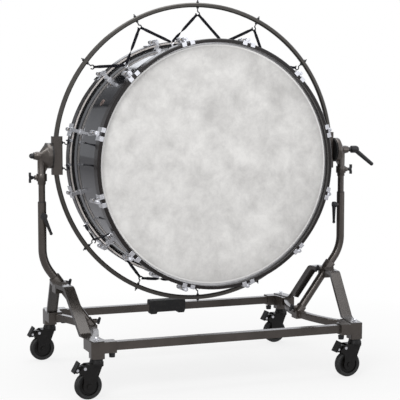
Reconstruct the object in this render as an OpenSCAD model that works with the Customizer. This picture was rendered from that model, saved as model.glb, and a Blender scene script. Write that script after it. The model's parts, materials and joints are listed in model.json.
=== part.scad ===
// Concert bass drum hung by elastic bands in a tilting ring, on a wheeled stand.
// Frame: millimetres, +X right, +Y to the back, +Z up, origin on the floor under the drum.

/* [Drum] */
// Outside diameter of the shell
shell_d = 912; // [900:1:920]
// Depth of the shell between its bearing edges
shell_depth = 406.4; // [380:0.2:430]
// Thickness of the shell wall
shell_wall = 8; // [6:0.5:10]
// Width of each wooden hoop along the drum's axis
hoop_width = 51; // [46:1:56]
// Outside radius of the wooden hoops
hoop_r = 478; // [476:0.5:482]
// How far the drum's centre hangs below the ring's centre
drum_sag = 35.5; // [20:0.5:45]
// Number of tension rods on each head
rod_count = 12; // [8:4:12]

/* [Ring] */
// Height of the ring's centre and of the tilt axis
ring_z = 864; // [850:1:890]
// Outside radius of the ring
ring_r = 587.6; // [586:0.2:589]
// Radial thickness of the ring tube
ring_radial = 17.5; // [16:0.5:18]
// Width of the ring tube along the drum's axis
ring_axial = 15.5; // [14:0.5:18]

/* [Stand] */
// Distance of each upright from the middle
upright_x = 632; // [628:1:640]
// Height of the top of each outer leg tube
leg_top_z = 687; // [670:1:700]
// Distance of the caster axes from the middle, left and right
caster_x = 522; // [515:1:530]
// Distance of the caster axes from the middle, front and back
caster_y = 353; // [345:1:360]
// Distance from the middle to each end bar's inward bow
bow_x = 445; // [440:1:450]
// Diameter of the caster wheels
wheel_d = 100; // [96:1:100]
// Centre of the foot rest along the rear rail
foot_rest_x = -12; // [-60:1:60]

/* [Hidden] */
$fn = 64;

// Colours
BLACK_GLOSS = [0.04, 0.04, 0.05];
HOOP_BROWN = [0.10, 0.08, 0.08];
HEAD_WHITE = [0.86, 0.86, 0.85];
CHROME = [0.80, 0.81, 0.83];
STEEL = [0.55, 0.55, 0.57];
FRAME_GREY = [0.30, 0.27, 0.25];
PLASTIC = [0.06, 0.06, 0.06];
RUBBER = [0.09, 0.09, 0.10];

// Clearances
run = 0.05;
gap = 0.1;

// Drum
drum_z = ring_z - drum_sag;
shell_r = shell_d / 2;
shell_in = shell_r - shell_wall;
half_depth = shell_depth / 2;
hoop_front = half_depth + 27;
hoop_back = hoop_front - hoop_width;
hoop_in = 464;
hoop_seat = 468.5;
flesh_top = half_depth - 4.2;
rod_step = 360 / rod_count;
rod_r = 3;
rod_at = 490;
rod_head_y = 214;
rod_end_y = 134;
lug_out = 166;
lug_in = 128;
screw_y = 147;
vent_angle = -59;

// Suspension
hook_wire = 2.3;
hook_bend = 7.5;
hook_at = 545;
anchor_at = 480;
anchor_bend = 8;
anchor_wire = 2.2;
strap_w = 12;
strap_t = 3;
strap_gap = 11.5;
block_hook_x = 534;
block_hook_z = 49;
top_hooks = [-52, -26, 0, 26, 52];
low_hooks = [-128, -154, 180, 154, 128];
anchor_angles = [-38, -13, 13, 38, 142, 167, -167, -142];
hoop_grip_y = 168;
hoop_grip_at = 489;
low_grip_angle = 121.5;
side_grip_angles = [80, 91.6];

// Ring block, pivot and tilt bracket, measured outward from the middle of the stand
block_in = 552;
block_out = 592;
block_half_z = 73.5;
block_half_y = 14;
pivot_r = 10;
disc_out = block_out + 5.2;
bracket_in = disc_out + gap;
socket_r = 15.5;
socket_low = ring_z - 109;
inner_tube_r = 12.7;
inner_tube_top = ring_z - 19.5;
inner_tube_low = 552;
wing_z = ring_z - 82;
pivot_end = 652;
rim_w = 17;

// Leg
leg_r = 16;
leg_bore = 13.6;
leg_lean = 36;
leg_corner_z = 459;
leg_bend_r = 150;
leg_foot_z = 190;
foot_knob_z = 216;
height_lever_z = 636;
bend_run = leg_bend_r * tan(leg_lean / 2);
leg_arc_z = leg_corner_z + bend_run;
apex_z = 371;
apex_x = upright_x - (leg_corner_z - apex_z) * tan(leg_lean);
foot_x = upright_x - (leg_corner_z - leg_foot_z) * tan(leg_lean);

// Base
rail_low = 175;
rail_top = 206;
rail_deep = 30;
rail_end = 498;
cast_top = 210;
cast_low = 168;
stem_low = 148;
rail_screw_x = 463;
bar_w = 20;
bar_end_y = 300;
arm_end_y = 265;
arm_bar_x = caster_x - 12;
bar_r = (arm_end_y * arm_end_y + pow(arm_bar_x - bow_x, 2)) / (2 * (arm_bar_x - bow_x));
bar_half_angle = asin(bar_end_y / bar_r);
bar_centre_x = bow_x + bar_r;
clamp_half = 28;
apex_bolt_z = apex_z - 14;
strut_w = 42;
strut_t = 3;
strut_top = apex_z + 3;
strut_slope = 45;
elbow_at = 63;
elbow_r = 36;
foot_bend_r = 40;
strut_turn = atan((apex_x - caster_x) / (caster_y - clamp_half));
strut_reach = norm([apex_x - caster_x, caster_y - clamp_half]);

// Caster, about its own swivel axis, with the wheel trailing towards -X
wheel_r = wheel_d / 2;
trail = 32;
wheel_w = 30;
plate_in = 18;
plate_out = 22;
axle_r = 5;
stem_r = 8;
pedal_pin = [-48, 116];

// ---------- helpers ----------

// Places its child, built at the top of the drum, at an angle clockwise from the front
module at_drum(angle) {
    translate([0, 0, drum_z]) rotate([0, angle, 0]) children();
}

module at_ring(angle) {
    translate([0, 0, ring_z]) rotate([0, angle, 0]) children();
}

// Turns a profile of [radius, y] into a solid round the drum's axis
module round_y(start = 0, sweep = 360) {
    rotate([-90, 0, 0]) rotate_extrude(angle = sweep, $fn = 180) children();
}

module both_ends() {
    children();
    mirror([0, 1, 0]) children();
}

module both_sides() {
    children();
    mirror([1, 0, 0]) children();
}

// Cylinder from y = a to y = b
module rod_y(r, a, b, fn = 48) {
    translate([0, a, 0]) rotate([-90, 0, 0]) cylinder(r = r, h = b - a, $fn = fn);
}

// Cylinder from x = a to x = b
module rod_x(r, a, b, fn = 48) {
    translate([a, 0, 0]) rotate([0, 90, 0]) cylinder(r = r, h = b - a, $fn = fn);
}

module slab(x0, x1, y0, y1, z0, z1) {
    translate([x0, y0, z0]) cube([x1 - x0, y1 - y0, z1 - z0]);
}

// Rectangle centred on the origin with cut corners
module cut_rect(w, h, c) {
    polygon([[-w / 2 + c, -h / 2], [w / 2 - c, -h / 2], [w / 2, -h / 2 + c], [w / 2, h / 2 - c],
        [w / 2 - c, h / 2], [-w / 2 + c, h / 2], [-w / 2, h / 2 - c], [-w / 2, -h / 2 + c]]);
}

// Aims local +Z from point p to point q
module aim(p, q) {
    d = q - p;
    translate(p) rotate([0, acos(d[2] / norm(d)), atan2(d[1], d[0])]) children();
}

function drum_point(angle, r, y) = [r * sin(angle), y, drum_z + r * cos(angle)];
function ring_point(angle, r) = [r * sin(angle), 0, ring_z + r * cos(angle)];

// ---------- drum ----------

module lug_spots() {
    for (i = [0:rod_count - 1]) at_drum(rod_step * (i + 0.5)) children();
}

module shell() {
    color(BLACK_GLOSS) difference() {
        translate([0, 0, drum_z]) round_y() polygon([
            [shell_in, half_depth - shell_wall + 1], [shell_r - 1, half_depth],
            [shell_r, half_depth - 1], [shell_r, 1 - half_depth],
            [shell_r - 1, -half_depth], [shell_in, shell_wall - 1 - half_depth]]);
        lug_spots() both_ends() translate([0, -screw_y, shell_in - 5])
            cylinder(r = 2.6, h = shell_wall + 10, $fn = 24);
        for (a = anchor_angles) at_drum(a) translate([0, 0, shell_in - 5])
            cylinder(r = 3.1, h = shell_wall + 10, $fn = 24);
        at_drum(vent_angle) translate([0, 0, shell_in - 5])
            cylinder(r = 9.1, h = shell_wall + 10, $fn = 48);
    }
}

// Film with its collar, on the front (-Y) end
module head() {
    translate([0, 0, drum_z]) round_y() polygon([
        [0, -half_depth - gap], [shell_r + 1, -half_depth - gap], [shell_r + 1, -flesh_top + 6],
        [shell_r + 2.2, -flesh_top + 6], [shell_r + 2.2, -half_depth - 0.4],
        [shell_r + 1.2, -half_depth - 1.3], [0, -half_depth - 1.3]]);
}

module front_head() {
    color(HEAD_WHITE) head();
}

module rear_head() {
    color(HEAD_WHITE) mirror([0, 1, 0]) head();
}

module flesh_hoops() {
    color(STEEL) both_ends() translate([0, 0, drum_z]) round_y()
        polygon([[shell_r + 2.4, -flesh_top], [hoop_seat - 1, -flesh_top],
            [hoop_seat - 1, -flesh_top + 11], [shell_r + 2.4, -flesh_top + 11]]);
}

module hoop() {
    c = 3;
    translate([0, 0, drum_z]) round_y() polygon([
        [hoop_in, -hoop_front + 1.5], [hoop_in + 1.5, -hoop_front], [hoop_r - c, -hoop_front],
        [hoop_r, -hoop_front + c], [hoop_r, -hoop_back - c], [hoop_r - c, -hoop_back],
        [hoop_seat, -hoop_back], [hoop_seat, -flesh_top - 0.1], [hoop_in, -flesh_top - 0.1]]);
}

module front_hoop() {
    color(HOOP_BROWN) hoop();
}

module rear_hoop() {
    color(HOOP_BROWN) mirror([0, 1, 0]) hoop();
}

// Claw that folds over the hoop, with the tension rod's boss between its two prongs
module claw() {
    top = hoop_r + 0.1;
    difference() {
        union() {
            for (s = [-1, 1]) {
                slab(s * 16.5 - 9, s * 16.5 + 9, -hoop_front - 4, -hoop_back - 3, top, top + 4);
                slab(s * 16.5 - 9, s * 16.5 + 9, -hoop_front - 4, -hoop_front - gap,
                    hoop_r - 12, top + 4);
            }
            slab(-16, 16, -hoop_back - 30, -hoop_back - 3, top, top + 4);
            slab(-7, 7, -rod_head_y, -hoop_back - 3, top + 1, rod_at);
            translate([0, 0, rod_at]) rod_y(8.5, -rod_head_y, -hoop_back - 3);
        }
        translate([0, 0, rod_at]) rod_y(rod_r + 0.3, -rod_head_y - 1, -hoop_back + 1);
    }
}

module front_claws() {
    color(CHROME) lug_spots() claw();
}

module rear_claws() {
    color(CHROME) lug_spots() mirror([0, 1, 0]) claw();
}

// Key rod: square drive head and washer in one piece with the shank
module tension_rods() {
    color(CHROME) lug_spots() both_ends() translate([0, 0, rod_at]) {
        rod_y(rod_r, -rod_head_y - 3, -rod_end_y, 24);
        rod_y(8, -rod_head_y - 2.6, -rod_head_y - gap);
        slab(-3.2, 3.2, -rod_head_y - 14, -rod_head_y - 2.5, -3.2, 3.2);
    }
}

module lug() {
    difference() {
        union() {
            translate([0, 0, rod_at]) rod_y(9, -lug_out, -lug_in);
            slab(-6, 6, -lug_out + 3, -lug_in - 3, shell_r + 2, rod_at);
            slab(-11, 11, -lug_out, -lug_in, shell_r + gap, shell_r + 4.5);
        }
        translate([0, 0, rod_at]) rod_y(5 + run, -lug_out - 1, -lug_in - 3);
        translate([0, -screw_y, shell_r - 1]) cylinder(r = 2.55, h = 19, $fn = 24);
    }
}

module lugs() {
    color(CHROME) lug_spots() both_ends() lug();
}

module swivel_nuts() {
    color(STEEL) lug_spots() both_ends() translate([0, 0, rod_at]) difference() {
        rod_y(5, -lug_out + 4, -lug_in - 3.2);
        rod_y(rod_r + run, -lug_out, -lug_in - 1.5);
    }
}

module lug_screws() {
    color(STEEL) lug_spots() both_ends() translate([0, -screw_y, 0]) {
        translate([0, 0, shell_in - 3.4]) cylinder(r = 5, h = 3.2, $fn = 24);
        translate([0, 0, shell_in - 1]) cylinder(r = 2.5, h = shell_wall + 16, $fn = 24);
    }
}

module vent_grommet() {
    color(CHROME) at_drum(vent_angle) difference() {
        union() {
            translate([0, 0, shell_in - 4]) cylinder(r = 9, h = shell_wall + 6);
            translate([0, 0, shell_r + 0.1]) cylinder(r = 14, h = 2);
            translate([0, 0, shell_in - 4]) cylinder(r = 13, h = 3.6);
        }
        translate([0, 0, shell_in - 5]) cylinder(r = 6, h = shell_wall + 10);
    }
}

// Eye bolt through the middle of the shell, with its nut inside
module strap_anchor() {
    translate([0, 0, anchor_at]) rotate([90, 0, 0])
        rotate_extrude($fn = 48) translate([anchor_bend, 0]) circle(r = anchor_wire, $fn = 24);
    translate([0, 0, shell_in - 9]) cylinder(r = 3, h = shell_wall + 27, $fn = 24);
    translate([0, 0, shell_r + 0.1]) cylinder(r = 8, h = 3, $fn = 32);
    translate([0, 0, shell_in - 7]) cylinder(r = 7, h = 6.6, $fn = 6);
}

module strap_anchors() {
    color(CHROME) for (a = anchor_angles) at_drum(a) strap_anchor();
}

// ---------- ring and suspension ----------

module ring_profile(grow) {
    translate([ring_r - ring_radial / 2, 0])
        cut_rect(ring_radial + 2 * grow, ring_axial + 2 * grow, 4);
}

module ring_hook_spots() {
    for (a = concat(top_hooks, low_hooks)) at_ring(a) children();
}

module ring() {
    color(FRAME_GREY) difference() {
        translate([0, 0, ring_z]) round_y() difference() {
            ring_profile(0);
            ring_profile(-2);
        }
        ring_hook_spots() translate([0, 0, ring_r - 30]) cylinder(r = 2.6, h = 40, $fn = 24);
    }
}

// Block clamped round the ring, with the pivot stub that the stand carries
module ring_block() {
    difference() {
        union() {
            translate([(block_in + block_out) / 2, 0, ring_z - block_half_z])
                linear_extrude(2 * block_half_z)
                    cut_rect(block_out - block_in, 2 * block_half_y, 4);
            translate([0, 0, ring_z]) rod_x(pivot_r, block_out - 1, pivot_end);
        }
        translate([0, 0, ring_z]) round_y() ring_profile(run);
        for (s = [-1, 1]) translate([0, 0, ring_z + s * block_hook_z])
            rod_x(hook_wire + run, block_in - 1, 566, 24);
        translate([0, 0, ring_z]) rod_x(5.4, pivot_end - 24, pivot_end + 1, 32);
    }
}

module ring_blocks() {
    color(FRAME_GREY) both_sides() ring_block();
}

// Open hook in the ring's plane, hanging from a straight shank
module hook(at, shank_top) {
    translate([0, 0, at]) rotate([90, 0, 0]) rotate([0, 0, -195])
        rotate_extrude(angle = 285, $fn = 48)
            translate([hook_bend, 0]) circle(r = hook_wire, $fn = 24);
    translate([0, 0, at + hook_bend - 0.5])
        cylinder(r = hook_wire, h = shank_top - at - hook_bend + 0.5, $fn = 24);
}

module hook_bolts() {
    color(PLASTIC) {
        ring_hook_spots() hook(hook_at, 599);
        both_sides() for (s = [-1, 1]) translate([0, 0, ring_z + s * block_hook_z])
            rotate([0, 90, 0]) hook(block_hook_x, 565);
    }
}

module hook_nut(z) {
    translate([0, 0, z]) difference() {
        cylinder(r = 5.5, h = 4.5, $fn = 6);
        translate([0, 0, -1]) cylinder(r = hook_wire + run, h = 7, $fn = 24);
    }
}

module hook_nuts() {
    color(PLASTIC) {
        ring_hook_spots() for (z = [ring_r + 0.1, ring_r - ring_radial - 4.6]) hook_nut(z);
        both_sides() for (s = [-1, 1]) translate([0, 0, ring_z + s * block_hook_z])
            rotate([0, 90, 0]) hook_nut(block_in - 4.6);
    }
}

// One leg of elastic band between two points, stopping short of the wires it loops round
module strap(p, q) {
    aim(p, q) slab(-strap_t / 2, strap_t / 2, -strap_w / 2, strap_w / 2,
        strap_gap, norm(q - p) - strap_gap);
}

module lacing(hook_angle, anchor_angle) {
    strap(ring_point(hook_angle, hook_at), drum_point(anchor_angle, anchor_at, 0));
}

module suspension_straps() {
    color(RUBBER) both_sides() {
        lacing(0, 13);
        lacing(26, 13);
        lacing(26, 38);
        lacing(52, 38);
        lacing(180, 167);
        lacing(154, 167);
        lacing(154, 142);
        both_ends() strap(ring_point(128, hook_at),
            drum_point(low_grip_angle, hoop_grip_at, -hoop_grip_y));
        for (i = [0, 1]) strap([block_hook_x, 0, ring_z + (1 - 2 * i) * block_hook_z],
            drum_point(side_grip_angles[i], hoop_grip_at, hoop_grip_y));
    }
}

// Flat hook over the hoop's inner edge, with an eye for the band
module hoop_hook() {
    slab(-5, 5, -hoop_back - 14, -hoop_back + 12, hoop_r + 0.1, hoop_r + 2.6);
    slab(-5, 5, -hoop_back + gap, -hoop_back + 2.6, hoop_r - 8, hoop_r + 1);
    translate([0, -hoop_grip_y, hoop_grip_at]) rotate([0, 90, 0])
        rotate_extrude($fn = 48) translate([8, 0]) circle(r = 2, $fn = 24);
}

module hoop_hooks() {
    color(CHROME) both_sides() {
        both_ends() at_drum(low_grip_angle) hoop_hook();
        for (a = side_grip_angles) at_drum(a) mirror([0, 1, 0]) hoop_hook();
    }
}

module friction_discs() {
    color(RUBBER) both_sides() translate([0, 0, ring_z]) difference() {
        rod_x(46, block_out + gap, disc_out, 96);
        rod_x(pivot_r + run, block_out - 1, disc_out + 1);
    }
}

// ---------- uprights ----------

// Cone and tube socket on the right-hand side
module tilt_bracket() {
    difference() {
        union() {
            translate([0, 0, ring_z]) {
                rod_x(49, bracket_in, bracket_in + rim_w, 96);
                translate([bracket_in + rim_w - 0.5, 0, 0]) rotate([0, 90, 0])
                    cylinder(r1 = 47.5, r2 = 18, h = 23, $fn = 96);
                rod_x(16, 632, 654);
                rod_x(14, 652, 662);
            }
            translate([upright_x, 0, socket_low]) cylinder(r = socket_r, h = 109);
            translate([0, 9, 0]) rotate([90, 0, 0]) linear_extrude(18) polygon([
                [bracket_in + rim_w - 4, ring_z - 46], [upright_x, ring_z - 20],
                [upright_x, ring_z - 66], [upright_x - 14, ring_z - 60]]);
            translate([upright_x, 0, wing_z - 14]) cylinder(r = 20, h = 28);
            translate([0, 0, wing_z]) rod_x(9, upright_x, upright_x + 28);
        }
        translate([0, 0, ring_z]) rod_x(pivot_r + run, bracket_in - 1, pivot_end + 0.5);
        translate([0, 0, ring_z]) rod_x(5 + run, pivot_end - 1, 663, 32);
        translate([upright_x, 0, socket_low - 1])
            cylinder(r = inner_tube_r + run, h = inner_tube_top + 1.5 - socket_low);
        translate([0, 0, wing_z]) rod_x(4 + run, upright_x + 10, upright_x + 30, 32);
    }
}

module right_tilt_bracket() {
    color(FRAME_GREY) tilt_bracket();
}

module left_tilt_bracket() {
    color(FRAME_GREY) mirror([1, 0, 0]) tilt_bracket();
}

module inner_tube() {
    translate([upright_x, 0, inner_tube_low]) difference() {
        cylinder(r = inner_tube_r, h = inner_tube_top - inner_tube_low);
        translate([0, 0, -1])
            cylinder(r = inner_tube_r - 2, h = inner_tube_top - inner_tube_low + 2);
    }
}

module right_inner_tube() {
    color(FRAME_GREY) inner_tube();
}

module left_inner_tube() {
    color(FRAME_GREY) mirror([1, 0, 0]) inner_tube();
}

// Screwed stud that draws the bracket against the disc
module pivot_stud() {
    translate([0, 0, ring_z]) rod_x(5, pivot_end - 20, 664, 32);
}

module right_tilt_lever() {
    tip = [779, 0, ring_z - 66];
    elbow = [700, 0, ring_z - 5];
    reach = norm(tip - elbow);
    color(PLASTIC) {
        pivot_stud();
        translate([0, 0, ring_z]) rotate([0, 90, 0]) rotate_extrude() polygon([
            [0, 662.2], [9, 662.2], [9, 675], [12, 676], [15, 679], [15, 699], [13, 706],
            [9, 711], [4, 713], [0, 713]]);
        aim(elbow, tip) rotate_extrude() polygon([
            [0, 0], [9.5, 0], [8, reach - 5], [7, reach - 2], [5, reach], [0, reach]]);
    }
}

module left_pivot_cap() {
    color(PLASTIC) mirror([1, 0, 0]) {
        pivot_stud();
        translate([0, 0, ring_z]) rotate([0, 90, 0]) rotate_extrude() polygon([
            [0, 662.2], [10, 662.2], [10.5, 668], [9.5, 673], [7, 677], [3.5, 679], [0, 679.5]]);
    }
}

// Wing screw that locks the socket on the inner tube, on the right-hand side
module wing_screw() {
    x = upright_x + 28;
    translate([0, 0, wing_z]) {
        rod_x(4, upright_x + 13.5, x + 14, 32);
        translate([x + 3, 0, 0]) rotate([0, 90, 0]) cylinder(r1 = 5, r2 = 9, h = 12, $fn = 48);
        difference() {
            slab(x + 14, x + 21, -6, 6, -19.5, 19.5);
            for (s = [-1, 1]) translate([0, s * 12, 0]) rod_x(9.5, x + 13, x + 22);
        }
    }
}

module right_wing_screw() {
    color(PLASTIC) wing_screw();
}

module left_wing_screw() {
    color(PLASTIC) mirror([1, 0, 0]) wing_screw();
}

// The leg's bent path as a solid rod, with the bend a hair fuller than the straights
module leg_path(r, spare) {
    slant = (leg_corner_z - leg_foot_z) / cos(leg_lean) - bend_run;
    translate([upright_x, 0, leg_arc_z - 0.6])
        cylinder(r = r, h = leg_top_z - leg_arc_z + 0.6 + spare);
    translate([upright_x - leg_bend_r, 0, leg_arc_z]) rotate([90, 0, 0])
        rotate([0, 0, -leg_lean]) rotate_extrude(angle = leg_lean, $fn = 96)
            translate([leg_bend_r, 0]) circle(r = r + 0.03, $fn = 64);
    translate([upright_x, 0, leg_corner_z]) rotate([0, 180 + leg_lean, 0])
        translate([0, 0, bend_run - 0.6]) cylinder(r = r, h = slant + 0.6 + spare);
}

// Bent leg; side_angle turns the lever's welded nut round the tube
module leg_tube(side_angle) {
    difference() {
        union() {
            leg_path(leg_r, 0);
            translate([upright_x, 0, height_lever_z]) rotate([0, 0, side_angle])
                rod_x(9, 8, leg_r + 2);
        }
        leg_path(leg_bore, 1);
        translate([upright_x, 0, height_lever_z]) rotate([0, 0, side_angle])
            rod_x(4 + run, leg_bore - 4, leg_r + 3, 32);
    }
}

module right_leg_tube() {
    color(FRAME_GREY) leg_tube(180);
}

module left_leg_tube() {
    color(FRAME_GREY) mirror([1, 0, 0]) leg_tube(-90);
}

module tube_bushings() {
    color(PLASTIC) both_sides() translate([upright_x, 0, leg_top_z - 30]) difference() {
        union() {
            cylinder(r = leg_bore - run, h = 30);
            translate([0, 0, 30.05]) cylinder(r = leg_r - 0.6, h = 2.5);
            translate([0, 0, 29]) cylinder(r = leg_bore - run, h = 3);
        }
        translate([0, 0, -1]) cylinder(r = inner_tube_r + run, h = 36);
    }
}

// Clamp lever along local +X from the tube's face, handle hanging down and swung by lean
module height_lever(lean) {
    rod_x(4, leg_bore + 0.2, leg_r + 6, 32);
    rod_x(10, leg_r + 2.2, leg_r + 10);
    rod_x(13, leg_r + 8, leg_r + 19);
    translate([leg_r + 14, 0, 0]) rotate([lean, 0, 0]) translate([0, 0, -72]) {
        cylinder(r1 = 5, r2 = 8, h = 66, $fn = 48);
        sphere(r = 6.2);
    }
}

module left_height_lever() {
    color(PLASTIC) translate([-upright_x, 0, height_lever_z]) rotate([0, 0, -90])
        height_lever(22);
}

module right_height_lever() {
    color(PLASTIC) translate([upright_x, 0, height_lever_z]) rotate([0, 0, 180])
        height_lever(0);
}

// ---------- base ----------

// Local +Z up the leg, with the origin on the leg's axis at the apex
module at_apex() {
    translate([apex_x, 0, apex_z]) rotate([0, leg_lean, 0]) children();
}

module apex_clamp() {
    difference() {
        union() {
            at_apex() translate([0, 0, -26]) cylinder(r = 22, h = 60);
            slab(apex_x - 22, apex_x + 22, -clamp_half, clamp_half, apex_z - 34, apex_z + 9);
            translate([0, 0, apex_z + 2]) rod_x(9, apex_x - 32, apex_x - 10);
        }
        at_apex() translate([0, 0, -70]) cylinder(r = leg_r + run, h = 140);
        translate([0, 0, apex_z + 2]) rod_x(4 + run, apex_x - 35, apex_x - 10, 32);
        both_ends() translate([apex_x - 2, 0, apex_bolt_z]) rod_y(4 + run, -30, -18, 32);
    }
}

module apex_clamps() {
    color(PLASTIC) both_sides() apex_clamp();
}

// Points along an arc about c, from angle a to angle b
function arc_points(c, r, a, b) =
    [for (i = [0:8]) let (t = a + (b - a) * i / 8) c + r * [cos(t), sin(t)]];

// The strut's upper line, or a line that lies drop below it: flat top, elbow, slope, foot
function strut_line(drop) =
    let (elbow_end = [elbow_at, strut_top - elbow_r]
            + elbow_r * [sin(strut_slope), cos(strut_slope)],
        foot_z = cast_top + gap + strut_t + foot_bend_r,
        slope_len = (elbow_end[1] - foot_z + foot_bend_r * cos(strut_slope)) / sin(strut_slope),
        foot_u = elbow_end[0] + slope_len * cos(strut_slope) + foot_bend_r * sin(strut_slope))
    concat([[-8, strut_top - drop]],
        arc_points([elbow_at, strut_top - elbow_r], elbow_r - drop, 90, 90 - strut_slope),
        arc_points([foot_u, foot_z], foot_bend_r + drop, 270 - strut_slope, 270),
        [[strut_reach + 26, foot_z - foot_bend_r - drop]]);

function reversed(v) = [for (i = [len(v) - 1:-1:0]) v[i]];

// Solid between two such lines, across the strut's width
module strut_sheet(upper, lower, width) {
    translate([apex_x, -clamp_half, 0]) rotate([0, 0, -strut_turn]) rotate([90, 0, -90])
        linear_extrude(width, center = true)
            polygon(concat(strut_line(upper), reversed(strut_line(lower))));
}

// Arched channel from the apex clamp down to the front corner casting, ending in a flat foot
module strut_leg() {
    difference() {
        union() {
            strut_sheet(0, 16, strut_w);
            slab(apex_x - 20, apex_x + 20, -clamp_half - 5, -clamp_half, apex_z - 30,
                strut_top - 0.5);
        }
        difference() {
            strut_sheet(strut_t, 22, strut_w - 2 * strut_t);
            slab(apex_x - 60, apex_x + 60, -clamp_half - 5, 20, apex_z - 60, strut_top + 9);
        }
        slab(apex_x - 60, apex_x + 60, -clamp_half - gap, 20, apex_z - 60, strut_top + 9);
        slab(caster_x - 80, caster_x + 80, -caster_y - 80, -caster_y + 250,
            cast_top - 80, cast_top + gap);
        translate([apex_x - 2, 0, apex_bolt_z]) rod_y(4 + run, -60, -20, 32);
        translate([caster_x, -caster_y, cast_top - 5]) cylinder(r = 4 + run, h = 60, $fn = 32);
    }
}

module struts() {
    color(FRAME_GREY) both_sides() both_ends() strut_leg();
}

// T-handled screw along local +X
module t_knob(reach) {
    rod_x(4, 0, reach, 32);
    rod_x(7, reach - 1.8, reach + 4);
    translate([reach + 8, 0, 0]) rotate([40, 0, 0]) {
        translate([0, 0, -14]) cylinder(r = 5.5, h = 28, $fn = 48);
        for (s = [-1, 1]) translate([0, 0, s * 14]) sphere(r = 5.5);
    }
}

module apex_knob() {
    translate([apex_x - 22, 0, apex_z + 2]) mirror([1, 0, 0]) t_knob(12);
}

module right_apex_knob() {
    color(PLASTIC) apex_knob();
}

module left_apex_knob() {
    color(PLASTIC) mirror([1, 0, 0]) apex_knob();
}

module foot_knob() {
    translate([foot_x - 5, 0, foot_knob_z]) mirror([1, 0, 0]) t_knob(13);
}

module right_foot_knob() {
    color(PLASTIC) foot_knob();
}

module left_foot_knob() {
    color(PLASTIC) mirror([1, 0, 0]) foot_knob();
}

module bar_sweep(grow) {
    half = bar_half_angle + grow;
    translate([bar_centre_x, 0, (rail_low + rail_top) / 2]) rotate([0, 0, 180 - half])
        rotate_extrude(angle = 2 * half, $fn = 360)
            translate([bar_r, 0]) square([bar_w + 2 * grow, 28 + 2 * grow], center = true);
}

// Bowed bar with the leg's socket in its middle
module end_bar() {
    difference() {
        union() {
            bar_sweep(0);
            slab(foot_x - 13, foot_x + 20, -24, 24, rail_low - 3, 204);
            translate([foot_x, 0, leg_foot_z]) rotate([0, leg_lean, 0])
                translate([0, 0, -4]) cylinder(r = 20, h = 44);
            translate([0, 0, foot_knob_z]) rod_x(9, foot_x - 16, foot_x + 6);
        }
        translate([foot_x, 0, leg_foot_z]) rotate([0, leg_lean, 0])
            translate([0, 0, -0.2]) cylinder(r = leg_r + run, h = 90);
        translate([0, 0, foot_knob_z]) rod_x(4 + run, foot_x - 17, foot_x + 5, 32);
        slab(foot_x - 60, foot_x + 60, -40, 40, rail_low - 40, rail_low - 3);
    }
}

module right_end_bar() {
    color(FRAME_GREY) end_bar();
}

module left_end_bar() {
    color(FRAME_GREY) mirror([1, 0, 0]) end_bar();
}

module rail_pocket() {
    slab(-rail_end - gap, rail_end + gap, -caster_y - rail_deep / 2 - gap,
        -caster_y + rail_deep / 2 + gap, rail_low - gap, rail_top + gap);
}

// Corner casting at the front right: one arm along the rail, one along the end bar
module corner_casting() {
    difference() {
        union() {
            translate([caster_x, -caster_y, cast_low]) linear_extrude(cast_top - cast_low)
                polygon(concat(arc_points([10, -13], 14, -90, 0), [[24, 88], [-32, 88],
                    [-32, 50], [-38, 20], [-70, 20], [-70, -27]]));
            translate([caster_x, -caster_y, stem_low]) linear_extrude(cast_low - stem_low + 1)
                polygon(concat(arc_points([10, -13], 13.8, -90, 0), arc_points([16, 18], 7, 0, 90),
                    arc_points([-19, 18], 7, 90, 180), arc_points([-19, -19.8], 7, 180, 270)));
        }
        rail_pocket();
        bar_sweep(gap);
        translate([caster_x, -caster_y, stem_low - 1])
            cylinder(r = stem_r + run, h = 24, $fn = 48);
        translate([rail_screw_x, -caster_y, cast_low - 1])
            cylinder(r = 3 + run, h = rail_low - cast_low + 2, $fn = 32);
        translate([caster_x, -caster_y, 200]) cylinder(r = 4 + run, h = 20, $fn = 32);
    }
}

module corner_castings() {
    color(FRAME_GREY) both_sides() both_ends() corner_casting();
}

module rail() {
    difference() {
        slab(-rail_end, rail_end, -caster_y - rail_deep / 2, -caster_y + rail_deep / 2,
            rail_low, rail_top);
        slab(-rail_end - 1, rail_end + 1, -caster_y - rail_deep / 2 + 2,
            -caster_y + rail_deep / 2 - 2, rail_low + 2, rail_top - 2);
    }
}

module front_rail() {
    color(FRAME_GREY) rail();
}

module rear_rail() {
    color(FRAME_GREY) mirror([0, 1, 0]) rail();
}

// Screws that hold the struts to the castings and to the apex clamps
module frame_bolts() {
    color(CHROME) both_sides() both_ends() {
        translate([caster_x, -caster_y, cast_top]) {
            translate([0, 0, -6]) cylinder(r = 4, h = 12, $fn = 32);
            translate([0, 0, 4.1]) cylinder(r = 10, h = 2, $fn = 48);
            translate([0, 0, 6]) cylinder(r = 7.5, h = 6, $fn = 6);
            translate([0, 0, 11]) sphere(r = 5.5);
        }
        translate([apex_x - 2, 0, apex_bolt_z]) {
            rod_y(4, -34, -19, 32);
            rod_y(7.5, -39, -33.1, 6);
        }
    }
}

// Thumb screws under the castings' arms that clamp the rails
module rail_screws() {
    color(PLASTIC) both_sides() both_ends() translate([rail_screw_x, -caster_y, 0]) {
        translate([0, 0, cast_low - 6]) cylinder(r = 3, h = rail_low - cast_low + 5.8, $fn = 32);
        translate([0, 0, cast_low - 20]) cylinder(r1 = 10.5, r2 = 12, h = 15, $fn = 48);
    }
}

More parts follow.
